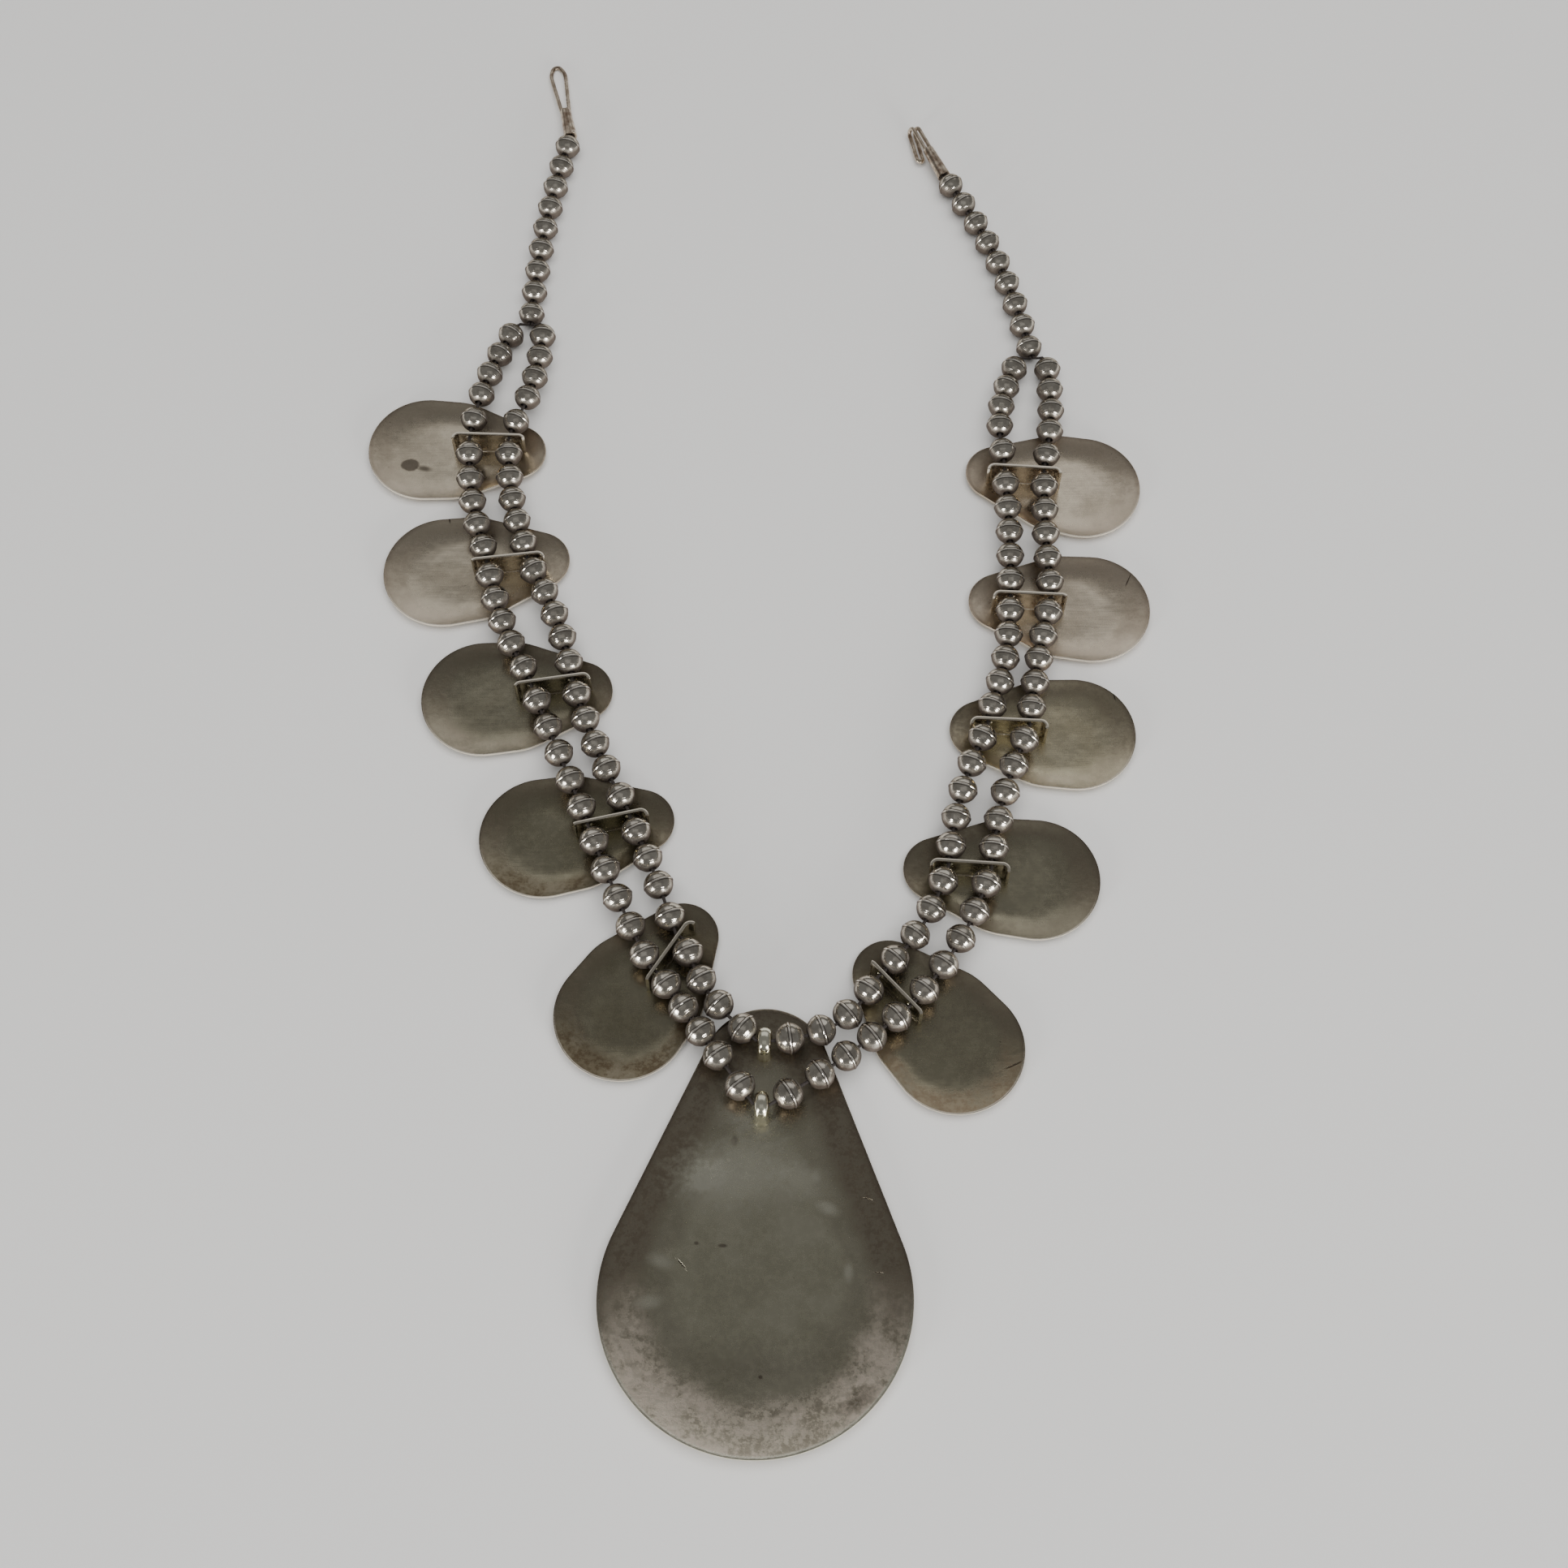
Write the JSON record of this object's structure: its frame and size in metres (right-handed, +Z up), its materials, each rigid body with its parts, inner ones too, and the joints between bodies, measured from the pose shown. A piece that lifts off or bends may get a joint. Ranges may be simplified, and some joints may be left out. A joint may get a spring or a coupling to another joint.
{
  "type": "necklace",
  "caption": "Squash blossom necklace, unclasped and lying back up: double strand of hollow silver beads with small teardrop drops, a large teardrop drop, and a hook and eye clasp.",
  "frame": {"origin": "middle of the necklace's outline, on the surface it lies on", "axes": "+Y from the main drop towards the clasp, +Z up, out of the backs of the drops, which face the viewer, and +X to the viewer's right"},
  "size_m": [0.2046, 0.3944, 0.0107],
  "materials": {
    "sheet_silver": "tarnished silver sheet",
    "bead_silver": "worn bright silver",
    "clasp_silver": "tarnished silver wire and sheet",
    "thread": "waxed dark cord"
  },
  "bodies": {
    "root": {"left_drop_1": "sheet_silver", "left_drop_2": "sheet_silver", "left_drop_3": "sheet_silver", "left_drop_4": "sheet_silver", "left_drop_5": "sheet_silver", "right_drop_1": "sheet_silver", "right_drop_2": "sheet_silver", "right_drop_3": "sheet_silver", "right_drop_4": "sheet_silver", "right_drop_5": "sheet_silver", "main_drop": "sheet_silver", "outer_beads_left": "bead_silver", "outer_beads_right": "bead_silver", "inner_beads_left": "bead_silver", "inner_beads_right": "bead_silver", "outer_thread": "thread", "inner_thread": "thread", "clasp_eye": "clasp_silver", "clasp_hook": "clasp_silver"}
  },
  "joints": []
}
